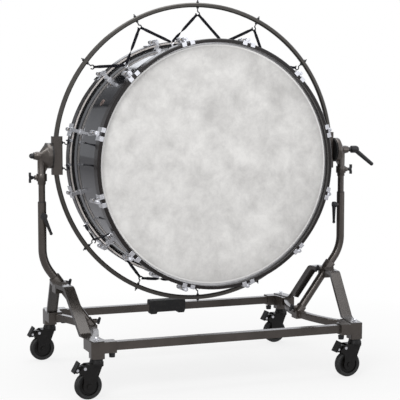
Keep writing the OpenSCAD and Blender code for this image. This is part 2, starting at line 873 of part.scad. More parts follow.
// Rubber-covered sleeve on the rear rail with a clamp bump under each end
module foot_rest() {
    half = 79;
    color(RUBBER) difference() {
        union() {
            translate([foot_rest_x - half, caster_y, 196.5]) rotate([90, 0, 90])
                linear_extrude(2 * half) cut_rect(46, 51, 7);
            for (s = [-1, 1]) translate([foot_rest_x + s * (half - 14), caster_y, 162])
                cylinder(r = 10, h = 14, $fn = 48);
        }
        slab(-rail_end, rail_end, caster_y - rail_deep / 2 - 0.3, caster_y + rail_deep / 2 + 0.3,
            rail_low - 0.3, rail_top + 0.3);
    }
}

// ---------- casters ----------

module fork_plate() {
    rotate([90, 0, 0]) linear_extrude(plate_out - plate_in) difference() {
        union() {
            polygon([[19, 130], [3, 88], [-10, 56], [-54, 50], [-52, 72], [-54, 90],
                [-62, 97], [-70, 98], [-66, 110], [-56, 122], [-42, 130]]);
            translate([-trail, wheel_r]) circle(r = 23);
        }
        translate(pedal_pin) circle(r = 4, $fn = 32);
        translate([-trail, wheel_r]) circle(r = axle_r, $fn = 32);
    }
}

// Swivel fork with its stem, crown, axle bolt and brake pin
module fork() {
    difference() {
        union() {
            cylinder(r = stem_r, h = stem_low + 21, $fn = 48);
            cylinder(r = 24, h = stem_low - 5, $fn = 96);
            cylinder(r = 26, h = stem_low - 12, $fn = 96);
            cylinder(r = 21, h = stem_low - 0.05, $fn = 96);
        }
        translate([0, 0, -1]) cylinder(r = 60, h = 121);
    }
    for (s = [-1, 1]) translate([0, s > 0 ? plate_out : -plate_in, 0]) fork_plate();
    slab(-38, 14, -plate_out, plate_out, 119, 130);
    translate([-trail, 0, wheel_r]) {
        rod_y(axle_r - run, -plate_out - 3, plate_out + 3, 32);
        both_ends() rod_y(9, -plate_out - 5, -plate_out, 48);
    }
    translate([pedal_pin[0], 0, pedal_pin[1]]) {
        rod_y(4, -plate_out - 1, plate_out + 1, 32);
        both_ends() rod_y(5.5, -plate_out - 2, -plate_out + 0.5, 32);
    }
}

module wheel() {
    translate([-trail, 0, wheel_r]) {
        rotate([-90, 0, 0]) rotate_extrude($fn = 96) polygon([
            [36, -13], [43, -14.5], [48, -wheel_w / 2 + 3.5], [wheel_r, -7], [wheel_r, 7],
            [48, wheel_w / 2 - 3.5], [43, 14.5], [36, 13]]);
        rotate([-90, 0, 0]) rotate_extrude($fn = 96) polygon([
            [axle_r + run, -17], [12, -17], [13, -9], [32, -9], [33.5, -13], [35.95, -13],
            [35.95, 13], [33.5, 13], [32, 9], [13, 9], [12, 17], [axle_r + run, 17]]);
    }
}

// Brake lever: an arm between the fork's plates and a ribbed tread plate
module pedal() {
    difference() {
        union() {
            translate([0, 13, 0]) rotate([90, 0, 0]) linear_extrude(26) polygon([
                [-42, 124], [-60, 126], [-75, 124], [-85, 106], [-86, 101], [-75, 99],
                [-66, 102], [-58, 107], [-42, 109]]);
            translate([-74, 0, 110]) rod_y(5, -15, 15, 32);
            translate([-76.5, 0, 119.5]) rotate([0, 29, 0]) {
                slab(-4, 1, -21, 21, -22, 22);
                for (i = [-2:2]) slab(-5.5, -3, -18, 18, i * 8 - 1.5, i * 8 + 1.5);
            }
        }
        translate([pedal_pin[0], 0, pedal_pin[1]]) rod_y(4 + run, -30, 30, 32);
    }
}

module at_caster(sx, sy) {
    translate([sx * caster_x, sy * caster_y, 0]) children();
}

module front_left_fork() {
    color(PLASTIC) at_caster(-1, -1) fork();
}

module front_right_fork() {
    color(PLASTIC) at_caster(1, -1) fork();
}

module rear_left_fork() {
    color(PLASTIC) at_caster(-1, 1) fork();
}

module rear_right_fork() {
    color(PLASTIC) at_caster(1, 1) fork();
}

module front_left_wheel() {
    color(RUBBER) at_caster(-1, -1) wheel();
}

module front_right_wheel() {
    color(RUBBER) at_caster(1, -1) wheel();
}

module rear_left_wheel() {
    color(RUBBER) at_caster(-1, 1) wheel();
}

module rear_right_wheel() {
    color(RUBBER) at_caster(1, 1) wheel();
}

module front_left_pedal() {
    color(PLASTIC) at_caster(-1, -1) pedal();
}

module front_right_pedal() {
    color(PLASTIC) at_caster(1, -1) pedal();
}

module rear_left_pedal() {
    color(PLASTIC) at_caster(-1, 1) pedal();
}

module rear_right_pedal() {
    color(PLASTIC) at_caster(1, 1) pedal();
}

// ---------- what is drawn ----------

shell();
front_head();
rear_head();
flesh_hoops();
front_hoop();
rear_hoop();
front_claws();
rear_claws();
tension_rods();
lugs();
swivel_nuts();
lug_screws();
vent_grommet();
strap_anchors();
ring();
ring_blocks();
hook_bolts();
hook_nuts();
suspension_straps();
hoop_hooks();
friction_discs();
left_tilt_bracket();
right_tilt_bracket();
left_inner_tube();
right_inner_tube();
left_pivot_cap();
right_tilt_lever();
left_wing_screw();
right_wing_screw();
left_leg_tube();
right_leg_tube();
tube_bushings();
left_height_lever();
right_height_lever();
apex_clamps();
struts();
left_apex_knob();
right_apex_knob();
left_foot_knob();
right_foot_knob();
left_end_bar();
right_end_bar();
corner_castings();
front_rail();
rear_rail();
frame_bolts();
rail_screws();
foot_rest();
front_left_fork();
front_right_fork();
rear_left_fork();
rear_right_fork();
front_left_wheel();
front_right_wheel();
rear_left_wheel();
rear_right_wheel();
front_left_pedal();
front_right_pedal();
rear_left_pedal();
rear_right_pedal();
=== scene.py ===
"""Looks of a concert bass drum hung on elastic bands in a tilting ring, on a wheeled stand."""

import json
import math

import bpy
from mathutils import Matrix, Vector


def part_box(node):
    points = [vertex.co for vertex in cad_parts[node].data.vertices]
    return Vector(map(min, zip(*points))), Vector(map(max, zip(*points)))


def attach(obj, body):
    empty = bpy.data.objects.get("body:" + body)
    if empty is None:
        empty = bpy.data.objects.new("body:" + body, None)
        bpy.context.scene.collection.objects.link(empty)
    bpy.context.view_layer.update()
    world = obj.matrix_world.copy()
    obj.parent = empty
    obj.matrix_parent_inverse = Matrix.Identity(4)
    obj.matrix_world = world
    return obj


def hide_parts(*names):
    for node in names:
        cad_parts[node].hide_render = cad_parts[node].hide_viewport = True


MM = 0.001
DRUM_AXIS = Vector((0, 1, 0))
CORNERS = ("front_left", "front_right", "rear_left", "rear_right")

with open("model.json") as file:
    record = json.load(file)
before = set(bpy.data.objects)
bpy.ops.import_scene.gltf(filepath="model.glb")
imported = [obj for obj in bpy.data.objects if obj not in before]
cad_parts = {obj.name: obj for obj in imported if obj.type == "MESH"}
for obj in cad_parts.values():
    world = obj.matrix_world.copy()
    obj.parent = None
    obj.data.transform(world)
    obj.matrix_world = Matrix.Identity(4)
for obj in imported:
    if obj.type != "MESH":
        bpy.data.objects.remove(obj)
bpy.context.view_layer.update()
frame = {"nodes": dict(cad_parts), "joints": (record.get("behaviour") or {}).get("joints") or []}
nodes = frame["nodes"]


def eased(value):
    """Smooth step: 0 below 0, 1 above 1, with no corner at either end."""
    value = max(0.0, min(1.0, value))
    return value * value * (3 - 2 * value)


def centre_of(node):
    """Middle of a CAD node's box."""
    low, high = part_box(node)
    return (low + high) / 2


drum_centre = centre_of("shell")
ring_centre = centre_of("ring")
shell_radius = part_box("shell")[1].x
pivot_height = ring_centre.z


# ---------- materials ----------

WHITE = (1, 1, 1, 1)
COOL_WHITE = (0.93, 0.95, 1.0, 1)
# How bright the gap between hoop and shell glows to glossy rays: a painted reflection seen in the
# lacquer
GAP_PAINTED_REFLECTION_LEVEL = 0.36


class Graph:
    """Short names for building a shader node tree."""

    def __init__(self, owner, coordinates):
        owner.use_nodes = True
        self.tree = owner.node_tree
        self.place = self.add("ShaderNodeTexCoord").outputs[coordinates]

    def add(self, kind, **settings):
        node = self.tree.nodes.new(kind)
        for key, value in settings.items():
            setattr(node, key, value)
        return node

    def feed(self, node, index, value):
        if isinstance(value, bpy.types.NodeSocket):
            self.tree.links.new(value, node.inputs[index])
        else:
            node.inputs[index].default_value = value

    def stretched(self, factors, source=None):
        """Coordinates scaled per axis: a factor under 1 draws the pattern out along that axis."""
        node = self.add("ShaderNodeMapping")
        self.feed(node, 0, source or self.place)
        node.inputs["Scale"].default_value = factors
        return node.outputs[0]

    def noise(self, scale, detail=3.0, rough=0.5, warp=0.0, place=None):
        """Cloudy noise between 0 and 1."""
        node = self.add("ShaderNodeTexNoise")
        self.feed(node, "Vector", place or self.place)
        node.inputs["Scale"].default_value = scale
        node.inputs["Detail"].default_value = detail
        node.inputs["Roughness"].default_value = rough
        node.inputs["Distortion"].default_value = warp
        return node.outputs[0]

    def cells(self, scale):
        """Distance to the nearest of many scattered points."""
        node = self.add("ShaderNodeTexVoronoi", feature="F1")
        self.feed(node, "Vector", self.place)
        node.inputs["Scale"].default_value = scale
        return node.outputs["Distance"]

    def math(self, operation, a, b):
        node = self.add("ShaderNodeMath", operation=operation)
        self.feed(node, 0, a)
        self.feed(node, 1, b)
        return node.outputs[0]

    def span(self, value, low, high, out_low, out_high):
        """Maps low..high to out_low..out_high, and holds the ends beyond it."""
        node = self.add("ShaderNodeMapRange")
        for index, item in enumerate((value, low, high, out_low, out_high)):
            self.feed(node, index, item)
        return node.outputs[0]

    def tint(self, factor, dark, light):
        """A colour between two, each given as (red, green, blue) or as a socket."""
        node = self.add("ShaderNodeMix", data_type="RGBA")
        self.feed(node, "Factor", factor)
        for index, colour in ((6, dark), (7, light)):
            given = isinstance(colour, bpy.types.NodeSocket)
            self.feed(node, index, colour if given else (*colour, 1))
        return node.outputs[2]

    def blend(self, factor, first, second):
        node = self.add("ShaderNodeMixShader")
        for index, item in enumerate((factor, first, second)):
            self.feed(node, index, item)
        return node.outputs[0]

    def glow(self, colour, strength=1.0):
        node = self.add("ShaderNodeEmission")
        self.feed(node, 0, colour)
        self.feed(node, 1, strength)
        return node.outputs[0]

    def ray(self, kind):
        """1 where the shading ray is of a kind: Camera or Glossy."""
        return self.add("ShaderNodeLightPath").outputs["Is %s Ray" % kind]


class Finish(Graph):
    """One procedural material, built round its Principled shader."""

    def __init__(self, name, colour, roughness, metallic=0.0, **more):
        self.material = bpy.data.materials.new(name)
        super().__init__(self.material, "Object")
        self.shader = self.tree.nodes["Principled BSDF"]
        self.set("Base Color", (*colour, 1))
        self.set("Roughness", roughness)
        self.set("Metallic", metallic)
        for key, value in more.items():
            self.set(key.replace("_", " ").title().replace("Ior", "IOR"), value)

    def set(self, socket, value):
        target = self.shader.inputs[socket]
        if isinstance(value, bpy.types.NodeSocket):
            self.tree.links.new(value, target)
        else:
            target.default_value = value

    def bump(self, height, distance, strength):
        """Adds a relief, on top of those added before it."""
        node = self.add("ShaderNodeBump")
        node.inputs["Strength"].default_value = strength
        node.inputs["Distance"].default_value = distance
        self.feed(node, "Height", height)
        links = self.shader.inputs["Normal"].links
        if links:
            self.feed(node, "Normal", links[0].from_socket)
        self.set("Normal", node.outputs[0])

    def radius_from_axis(self, centre):
        """Distance of the shaded point from the drum's axis, which runs along Y."""
        shift = self.add("ShaderNodeVectorMath", operation="SUBTRACT")
        self.feed(shift, 0, self.place)
        shift.inputs[1].default_value = centre
        flat = self.stretched((1, 0, 1), shift.outputs[0])
        length = self.add("ShaderNodeVectorMath", operation="LENGTH")
        self.feed(length, 0, flat)
        return length.outputs["Value"]


def shell_lacquer():
    """Polished black lacquer with a little dust and a slow waviness."""
    black = (0.006, 0.006, 0.008)
    f = Finish("black_lacquer", black, 0.25, specular_ior_level=0.12,
        coat_weight=0.9, coat_roughness=0.02)
    haze = f.noise(14, detail=4, rough=0.6)
    f.set("Roughness", f.span(haze, 0.35, 0.7, 0.12, 0.24))
    dust = f.span(f.noise(900, detail=1), 0.68, 0.8, 0.0, 0.5)
    f.set("Base Color", f.tint(dust, black, (0.04, 0.04, 0.045)))
    f.bump(f.noise(22, detail=2), 0.0006, 0.25)
    return f.material


def hoop_lacquer():
    """Black lacquer over wood, with the grain running round the hoop."""
    f = Finish("hoop_lacquer", (0.008, 0.006, 0.006), 0.24, specular_ior_level=0.3,
        coat_weight=0.3, coat_roughness=0.06)
    around = f.stretched((0.4, 14, 0.4))
    grain = f.noise(70, detail=5, rough=0.6, warp=0.4, place=around)
    f.set("Base Color", f.tint(grain, (0.004, 0.003, 0.003), (0.018, 0.013, 0.011)))
    f.set("Roughness", f.span(grain, 0.3, 0.7, 0.18, 0.32))
    f.bump(grain, 0.0002, 0.3)
    return f.material


def hoop_edge():
    """Clear-lacquered maple plies on the hoop's edge."""
    f = Finish("hoop_maple", (0.86, 0.80, 0.76), 0.35, coat_weight=0.5, coat_roughness=0.1)
    plies = f.noise(500, detail=2, place=f.stretched((1, 0.02, 1)))
    f.set("Base Color", f.tint(plies, (0.78, 0.71, 0.67), (0.92, 0.88, 0.85)))
    return f.material


def fibre_head():
    """Off-white fibre skin: cloudy at three scales, and plain white at the rim."""
    f = Finish("fibre_head", (0.7, 0.7, 0.69), 0.55, specular_ior_level=0.35)
    clouds = f.noise(13, detail=10, rough=0.66, warp=0.25)
    patches = f.noise(4.0, detail=3, rough=0.5, warp=0.3)
    strands = f.noise(42, detail=5, rough=0.75, warp=0.8)
    mottle = f.math("ADD", f.math("MULTIPLY", clouds, 0.62), f.math("MULTIPLY", strands, 0.2))
    mottle = f.math("ADD", mottle, f.math("MULTIPLY", patches, 0.18))
    cloud = f.span(mottle, 0.36, 0.62, 0.0, 1.0)
    skin = f.tint(cloud, (0.560, 0.550, 0.540), (0.815, 0.805, 0.790))
    rim_inner, rim_outer = shell_radius - 6 * MM, shell_radius - 3 * MM
    rim = f.span(f.radius_from_axis(drum_centre), rim_inner, rim_outer, 0.0, 1.0)
    f.set("Base Color", f.tint(rim, skin, (0.98, 0.97, 0.96)))
    f.bump(f.noise(1400, detail=2), 0.0001, 0.35)
    f.bump(strands, 0.0004, 0.12)
    return f.material


def chrome():
    """Bright plating with slightly uneven polish."""
    f = Finish("chrome", (0.93, 0.93, 0.95), 0.16, 1.0)
    f.set("Roughness", f.span(f.noise(60, detail=4), 0.3, 0.7, 0.10, 0.24))
    return f.material


def steel(name, colour, roughness):
    """Bare metal with fine turning marks."""
    f = Finish(name, colour, roughness, 1.0)
    turned = f.noise(900, detail=2, place=f.stretched((1, 0.05, 1)))
    f.set("Roughness", f.span(turned, 0.3, 0.7, roughness * 0.8, roughness * 1.3))
    f.bump(turned, 0.0001, 0.1)
    return f.material


def stand_paint(name, dark, light, roughness):
    """Satin metallic paint with a faint orange peel and slightly uneven gloss."""
    f = Finish(name, light, roughness, 0.65, coat_weight=0.5, coat_roughness=0.12)
    flakes = f.cells(1500)
    broad = f.noise(9, detail=5, rough=0.6)
    tone = f.math("ADD", f.math("MULTIPLY", flakes, 0.5), f.math("MULTIPLY", broad, 0.7))
    f.set("Base Color", f.tint(f.span(tone, 0.2, 0.8, 0, 1), dark, light))
    f.set("Roughness", f.span(broad, 0.3, 0.7, roughness * 0.85, roughness * 1.2))
    f.bump(f.noise(420, detail=2), 0.0003, 0.12)
    return f.material


def moulded(name, colour, roughness, grain=0.3, shine=0.5):
    """Moulded plastic with a fine spark-eroded grain and scuffed high spots."""
    f = Finish(name, colour, roughness, specular_ior_level=shine)
    scuffs = f.noise(45, detail=6, rough=0.7)
    worn = tuple(min(1.0, c * 1.9 + 0.006) for c in colour)
    f.set("Base Color", f.tint(f.span(scuffs, 0.55, 0.8, 0.0, 0.7), colour, worn))
    f.set("Roughness", f.span(scuffs, 0.3, 0.75, roughness * 0.85, roughness * 1.25))
    f.bump(f.noise(1500, detail=2), 0.00015, grain)
    return f.material


def gap_painted_shade_and_reflection():
    """Painted shade in the hoop gap; to glossy rays it glows dim grey, a painted reflection."""
    f = Finish("gap_painted_shade_and_reflection", (0.006, 0.006, 0.007), 0.5)
    output = f.tree.nodes["Material Output"]
    # Painted reflection: glossy rays see the gap glow dim grey, and the camera sees painted black
    # shade
    mirrored = f.glow(COOL_WHITE, GAP_PAINTED_REFLECTION_LEVEL)
    f.feed(output, 0, f.blend(f.ray("Glossy"), f.shader.outputs[0], mirrored))
    return f.material


def tyre_rubber():
    """Matt black rubber with floor dust."""
    f = Finish("tyre_rubber", (0.012, 0.012, 0.012), 0.6, specular_ior_level=0.4)
    dust = f.span(f.noise(70, detail=6, rough=0.7), 0.45, 0.75, 0.0, 0.8)
    f.set("Base Color", f.tint(dust, (0.010, 0.010, 0.010), (0.032, 0.031, 0.029)))
    f.bump(f.noise(1100, detail=3), 0.0002, 0.5)
    return f.material


def grip_rubber():
    """Matt moulded rubber with dusty, scuffed high spots."""
    black = (0.007, 0.007, 0.007)
    f = Finish("grip_rubber", black, 0.55, specular_ior_level=0.4)
    scuffs = f.noise(60, detail=7, rough=0.75)
    dusty = f.span(scuffs, 0.5, 0.8, 0.0, 1.0)
    f.set("Base Color", f.tint(dusty, black, (0.035, 0.033, 0.031)))
    f.set("Roughness", f.span(scuffs, 0.3, 0.7, 0.45, 0.7))
    f.bump(f.noise(1300, detail=2), 0.0002, 0.5)
    return f.material


def woven_elastic():
    """Flat braided elastic with ribs across it and cords along it."""
    f = Finish("woven_elastic", (0.006, 0.006, 0.010), 0.85, specular_ior_level=0.25)
    along = f.add("ShaderNodeUVMap", uv_map="along").outputs[0]
    ribs = f.add("ShaderNodeTexWave", wave_type="BANDS", bands_direction="X")
    f.feed(ribs, "Vector", along)
    ribs.inputs["Scale"].default_value = 260
    cords = f.add("ShaderNodeTexWave", wave_type="BANDS", bands_direction="Y")
    f.feed(cords, "Vector", along)
    cords.inputs["Scale"].default_value = 210
    weave = f.math("MULTIPLY", ribs.outputs["Fac"], cords.outputs["Fac"])
    f.set("Base Color", f.tint(weave, (0.003, 0.003, 0.006), (0.014, 0.014, 0.022)))
    f.bump(weave, 0.0005, 0.8)
    return f.material


FINISHES = {
    "shell": shell_lacquer(),
    "hoop": hoop_lacquer(),
    "head": fibre_head(),
    "chrome": chrome(),
    "steel": steel("zinc_steel", (0.5, 0.5, 0.52), 0.35),
    "aluminium": steel("aluminium", (0.88, 0.87, 0.86), 0.35),
    "maple": hoop_edge(),
    "brass": steel("nut_brass", (0.7, 0.55, 0.28), 0.3),
    "stand": stand_paint("bronze_paint", (0.046, 0.039, 0.033), (0.100, 0.085, 0.074), 0.30),
    "ring": stand_paint("ring_paint", (0.036, 0.032, 0.027), (0.078, 0.070, 0.060), 0.34),
    # Painted shade: the struts get a darker copy of the stand's bronze paint
    "strut": stand_paint("shaded_strut_paint", (0.036, 0.032, 0.028), (0.084, 0.074, 0.066), 0.26),
    # Painted shade and painted reflection for the gap between hoop and shell
    "gap": gap_painted_shade_and_reflection(),
    "vent": steel("vent_bronze", (0.34, 0.26, 0.23), 0.4),
    "wire": moulded("black_wire", (0.012, 0.012, 0.014), 0.3, 0.1),
    "plastic": moulded("black_plastic", (0.010, 0.010, 0.011), 0.42),
    "caster": moulded("caster_black", (0.0045, 0.0038, 0.0032), 0.36, shine=0.32),
    "disc": moulded("friction_black", (0.010, 0.010, 0.010), 0.6, 0.6),
    "tyre": tyre_rubber(),
    "grip": grip_rubber(),
    "elastic": woven_elastic(),
    "thread": moulded("stitch_thread", (0.16, 0.16, 0.19), 0.7, 0.2),
}

# The flesh hoops' inward faces, from the drum's middle
FLESH_HOOP_INNER = 188 * MM

# The tread's seat on its hub, as a share of the wheel's radius
TREAD_SEAT = 0.72
FACE_SLACK = 0.2 * MM

# Per part: where its rivet lies from the swivel axis and the floor, how wide, and how far out
RIVETS = (
    ("_fork", -48 * MM, 116 * MM, 5.7 * MM, 21.9 * MM),
    ("_pedal", -74 * MM, 110 * MM, 5.2 * MM, 12.9 * MM),
)

NODE_FINISH = {
    "shell": ["shell"],
    "hoop": ["front_hoop", "rear_hoop"],
    "head": ["front_head", "rear_head"],
    "chrome": [
        "front_claws", "rear_claws", "tension_rods", "lugs", "strap_anchors", "hoop_hooks",
        "frame_bolts",
    ],
    "vent": ["vent_grommet"],
    "aluminium": ["flesh_hoops"],
    "steel": ["lug_screws"],
    "brass": ["swivel_nuts"],
    "ring": ["ring"],
    "stand": [
        "ring_blocks", "left_tilt_bracket", "right_tilt_bracket", "left_inner_tube",
        "right_inner_tube", "left_leg_tube", "right_leg_tube", "left_end_bar",
        "right_end_bar", "corner_castings", "front_rail", "rear_rail", "apex_clamps",
    ],
    "strut": ["struts"],
    "wire": ["hook_bolts", "hook_nuts"],
    "plastic": [
        "left_pivot_cap", "right_tilt_lever", "left_wing_screw", "right_wing_screw",
        "tube_bushings", "left_height_lever", "right_height_lever", "left_apex_knob",
        "right_apex_knob", "left_foot_knob", "right_foot_knob", "rail_screws",
    ],
    "disc": ["friction_discs"],
    "caster": [corner + part for corner in CORNERS for part in ("_fork", "_pedal", "_wheel")],
}


def paint_nodes():
    """Gives every CAD piece that stays its finish."""
    for finish, names in NODE_FINISH.items():
        for name in names:
            mesh = nodes[name].data
            mesh.materials.clear()
            mesh.materials.append(FINISHES[finish])


def paint_faces(node, finish, chosen):
    """Gives the faces whose corner points pass a test a finish of their own."""
    mesh = nodes[node].data
    mesh.materials.append(FINISHES[finish])
    for face in mesh.polygons:
        if chosen([mesh.vertices[i].co for i in face.vertices]):
            face.material_index = len(mesh.materials) - 1


def paint_tyres():
    """Gives each wheel's tread its own rubber: the hub's faces all lie inside the tread's seat."""
    for corner in CORNERS:
        middle = centre_of(corner + "_wheel")
        seat = TREAD_SEAT * (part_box(corner + "_wheel")[1].z - middle.z) - FACE_SLACK / 2
        paint_faces(corner + "_wheel", "tyre", lambda points: all(
            math.hypot(p.x - middle.x, p.z - middle.z) > seat for p in points))


def paint_hoop_edges():
    """Bare wood on the hoops' facing edges, and painted shade on the flesh hoops' facing sides."""
    for node in ("front_hoop", "rear_hoop"):
        low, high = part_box(node)
        edge = min(abs(low.y), abs(high.y)) + FACE_SLACK
        paint_faces(node, "maple", lambda points: all(abs(p.y) < edge for p in points))
    inner = FLESH_HOOP_INNER + FACE_SLACK
    # Painted shade: the flesh hoops' inward faces in the gap get black that glows dim grey to gloss
    paint_faces("flesh_hoops", "gap", lambda points: all(abs(p.y) < inner for p in points))


def paint_rivets():
    """Bright heads on the brake pin through each fork and the rivet through each pedal."""
    swivels = {joint["name"]: joint["pos_m"] for joint in frame["joints"] if "pos_m" in joint}
    for corner in CORNERS:
        x, y, _ = swivels[corner + "_swivel"]
        for part, across, height, reach, depth in RIVETS:
            paint_faces(corner + part, "chrome", lambda points: all(
                math.hypot(p.x - x - across, p.z - height) < reach and abs(p.y - y) > depth
                for p in points))


CAST_EDGE, FORMED_EDGE = 1.5 * MM, 0.6 * MM
WELD_GAP = 0.002 * MM
HARD_ANGLE = 32
CAST_PIECES = ["corner_castings", "ring_blocks", "left_end_bar", "right_end_bar"]
FORMED_PIECES = [
    "front_claws", "rear_claws", "lugs", "left_tilt_bracket", "right_tilt_bracket", "apex_clamps",
    "left_height_lever", "right_height_lever", "right_tilt_lever",
] + [corner + part for corner in CORNERS for part in ("_fork", "_pedal")]


def soften(names, width):
    """Rounds the hard edges of CAD pieces, where light would catch them."""
    for name in names:
        weld = nodes[name].modifiers.new("join_faces", "WELD")
        weld.merge_threshold = WELD_GAP
        bevel = nodes[name].modifiers.new("soft_edges", "BEVEL")
        bevel.width = width
        bevel.segments = 2
        bevel.limit_method = "ANGLE"
        bevel.angle_limit = math.radians(HARD_ANGLE)
        bevel.use_clamp_overlap = True
        bevel.harden_normals = True


# ---------- bands ----------

BAND_WIDTH = 12 * MM
BAND_THICK = 1.7 * MM
LOOP_REACH = 11 * MM
FLAP = 30 * MM
LAYER_GAP = 0.1 * MM
LOOP_STEPS, BAND_STEPS = 14, 48
# Where along a band its twist starts and ends, as shares of its length
TWIST_FROM, TWIST_TO = 0.35, 0.97
# How much narrower a band is at its loops and in the middle, as shares of its width
LOOP_NARROWING, STRETCH_NARROWING = 0.2, 0.06
NARROW_RUN, FLAP_EDGE = 10 * MM, 3 * MM

# Radii of the wires the bands hang on, and of the eyes bent from them
HOOK_WIRE = 2.3 * MM
ANCHOR_WIRE = 2.2 * MM
CLIP_WIRE = 2.0 * MM
HOOK_EYE = 7.5 * MM
ANCHOR_EYE = 8 * MM

# Where the eyes' centres are: in from a hook's outer end, out from the shell, along the drum from
# its middle, and across from the ring's middle and up from the pivot
HOOK_LENGTH = 54 * MM
ANCHOR_STANDOFF = 24 * MM
CLIP_STANDOFF = 33 * MM
CLIP_DEPTH = 168 * MM
BLOCK_HOOK_X, BLOCK_HOOK_RISE = 534 * MM, 49 * MM

# One side's bands, as angles from the top in degrees: (hook, anchor, half twists)
ANCHOR_BANDS = (
    (0, 13, 0), (26, 13, 0), (26, 38, 1), (52, 38, 0),
    (180, 167, 0), (154, 167, 1), (154, 142, 0),
)
LOW_HOOK, LOW_CLIP = 128, 121.5
# Bands of the ring block's upper (1) and lower (-1) hook, with their clips' angles
BLOCK_BANDS = ((1, 80), (-1, 91.6))

STITCH_ROWS, STITCHES_IN_ROW = 3, 4
STITCH_START, ROW_PITCH = 6 * MM, 9 * MM
STITCH_PITCH, STITCH_REACH = 2.5 * MM, 0.9 * MM
THREAD_WIDTH, THREAD_THICK = 0.55 * MM, 0.5 * MM


def add_piece(name, mesh, finish, smooth_below, body, replaced=()):
    """Finishes a modelled mesh and ties it to the body it rides on."""
    mesh.shade_smooth()
    mesh.set_sharp_from_angle(angle=math.radians(smooth_below))
    mesh.materials.append(FINISHES[finish])
    piece = bpy.data.objects.new(name, mesh)
    bpy.context.scene.collection.objects.link(piece)
    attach(piece, body)
    if replaced:
        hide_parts(*replaced)


class Builder:
    """Collects swept strips into one mesh with a UV map in metres along each strip."""

    def __init__(self):
        self.points = []
        self.faces = []
        self.uvs = []

    def strip(self, path, sides, widths, thicks):
        """Sweeps a flat section with cut corners; sides gives its width direction at each point."""
        base, run, rows = len(self.points), 0.0, 8
        for i, point in enumerate(path):
            ahead = path[min(i + 1, len(path) - 1)] - path[max(i - 1, 0)]
            ahead.normalize()
            side = (sides[i] - ahead * sides[i].dot(ahead)).normalized()
            up = ahead.cross(side)
            if i:
                run += (point - path[i - 1]).length
            w, t = widths[i] / 2, thicks[i] / 2
            cut = min(w, t) * 0.6
            section = [
                (-w, -t + cut), (-w + cut, -t), (w - cut, -t), (w, -t + cut),
                (w, t - cut), (w - cut, t), (-w + cut, t), (-w, t - cut),
            ]
            for a, b in section:
                self.points.append(point + side * a + up * b)
                self.uvs.append((run, a))
        for i in range(len(path) - 1):
            for j in range(rows):
                a, b = base + i * rows + j, base + i * rows + (j + 1) % rows
                self.faces.append((a, b, b + rows, a + rows))
        last = base + (len(path) - 1) * rows
        self.faces.append(tuple(base + j for j in reversed(range(rows))))
        self.faces.append(tuple(last + j for j in range(rows)))

    def build(self, name, finish, body, slot, replaced=()):
        """Makes the collected strips one piece."""
        mesh = bpy.data.meshes.new(name)
        mesh.from_pydata([tuple(p) for p in self.points], [], self.faces)
        layer = mesh.uv_layers.new(name="along")
        for loop in mesh.loops:
            layer.data[loop.index].uv = self.uvs[loop.vertex_index]
        add_piece(name, mesh, finish, 50, body, replaced)


def on_circle(centre, angle, radius, y=0.0):
    """A point at an angle clockwise from the top, seen from the front."""
    turn = math.radians(angle)
    return Vector((radius * math.sin(turn), y, centre.z + radius * math.cos(turn)))


# An eye is its centre, the direction it is seen round in, its radius and its wire's radius.


def ring_hook(angle):
    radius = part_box("hook_bolts")[1].z - pivot_height - HOOK_LENGTH
    return on_circle(ring_centre, angle, radius), DRUM_AXIS, HOOK_EYE, HOOK_WIRE


def shell_anchor(angle):
    place = on_circle(drum_centre, angle, shell_radius + ANCHOR_STANDOFF)
    return place, DRUM_AXIS, ANCHOR_EYE, ANCHOR_WIRE


def hoop_clip(angle, end):
    turn = math.radians(angle)
    tangent = Vector((math.cos(turn), 0, -math.sin(turn)))
    place = on_circle(drum_centre, angle, shell_radius + CLIP_STANDOFF, end * CLIP_DEPTH)
    return place, tangent, ANCHOR_EYE, CLIP_WIRE


def block_hook(side, up):
    place = Vector((side * BLOCK_HOOK_X, 0, pivot_height + up * BLOCK_HOOK_RISE))
    return place, DRUM_AXIS, HOOK_EYE, HOOK_WIRE


def wire_contact(eye, toward):
    """Where a band pulling toward a direction meets an eye, and the wire's direction there."""
    centre, axis, radius = eye[:3]
    pull = (toward - axis * toward.dot(axis)).normalized()
    return centre + pull * radius, axis.cross(pull)


def end_loop(band, contact, away, side, wire):
    """The turn of band round the wire, closing where both layers meet."""
    radius = wire + BAND_THICK / 2 + LAYER_GAP
    up = away.cross(side)
    opening = math.acos(min(1.0, radius / LOOP_REACH))
    path = [contact + away * LOOP_REACH + up * BAND_THICK / 2]
    for i in range(LOOP_STEPS + 1):
        turn = opening + (2 * math.pi - 2 * opening) * i / LOOP_STEPS
        path.append(contact + (away * math.cos(turn) + up * math.sin(turn)) * radius)
    path.append(contact + away * LOOP_REACH - up * BAND_THICK / 2)
    count = len(path)
    width = BAND_WIDTH * (1 - LOOP_NARROWING)
    band.strip(path, [side] * count, [width] * count, [BAND_THICK] * count)


def stitch_rows(thread, start, away, side, up):
    """Bar tacks that hold the folded end, on both faces."""
    for row in range(STITCH_ROWS):
        middle = start + away * (STITCH_START + row * ROW_PITCH)
        for face in (-1, 1):
            for k in range(STITCHES_IN_ROW):
                lift = up * face * (BAND_THICK + LAYER_GAP)
                at = middle + lift + side * (k - (STITCHES_IN_ROW - 1) / 2) * STITCH_PITCH
                slant = (side * 0.8 + away * 0.5 * (1 if k % 2 else -1)).normalized()
                ends = [at - slant * STITCH_REACH, at + slant * STITCH_REACH]
                thread.strip(ends, [up.cross(slant)] * 2, [THREAD_WIDTH] * 2, [THREAD_THICK] * 2)


